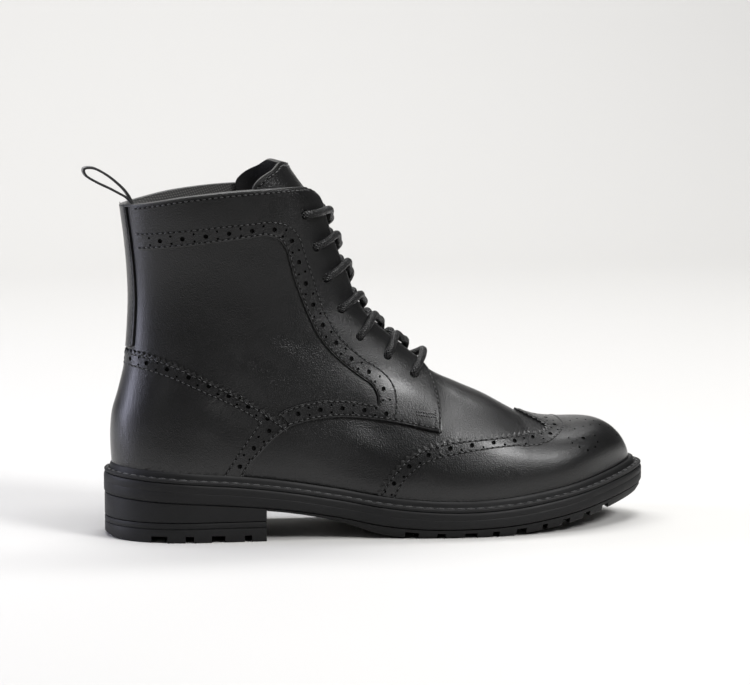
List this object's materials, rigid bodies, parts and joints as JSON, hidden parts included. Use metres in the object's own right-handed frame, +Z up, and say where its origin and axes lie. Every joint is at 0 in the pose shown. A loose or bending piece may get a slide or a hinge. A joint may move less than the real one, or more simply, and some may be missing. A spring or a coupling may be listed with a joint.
{
  "type": "brogue boot",
  "caption": "Lace-up ankle boot with a wing toe cap, punched facings, stitched welt, pull loop and a lugged rubber sole with a separate heel.",
  "frame": {"origin": "on the floor, at the middle of the heel's resting face", "axes": "+X from the heel to the toe, +Y to the inner side of the foot, +Z up the leg; the outer side is -Y"},
  "size_m": [0.3143, 0.1049, 0.2044],
  "materials": {
    "outsole": "matte",
    "midsole": "satin",
    "welt": "satin",
    "heel_block": "satin",
    "heel_lift": "matte",
    "insole": "matte",
    "upper": "semi-gloss",
    "tongue": "semi-gloss",
    "toe_cap": "semi-gloss",
    "heel_counter": "semi-gloss",
    "eyestay_lateral": "semi-gloss",
    "eyestay_medial": "semi-gloss",
    "back_strip": "semi-gloss",
    "pull_loop": "matte",
    "laces": "satin"
  },
  "bodies": {
    "root": {"outsole": "outsole", "midsole": "midsole", "welt": "welt", "heel_block": "heel_block", "heel_lift": "heel_lift", "insole": "insole", "upper": "upper", "tongue": "tongue", "toe_cap": "toe_cap", "heel_counter": "heel_counter", "eyestay_lateral": "eyestay_lateral", "eyestay_medial": "eyestay_medial", "back_strip": "back_strip", "pull_loop": "pull_loop", "laces": "laces"}
  },
  "joints": []
}
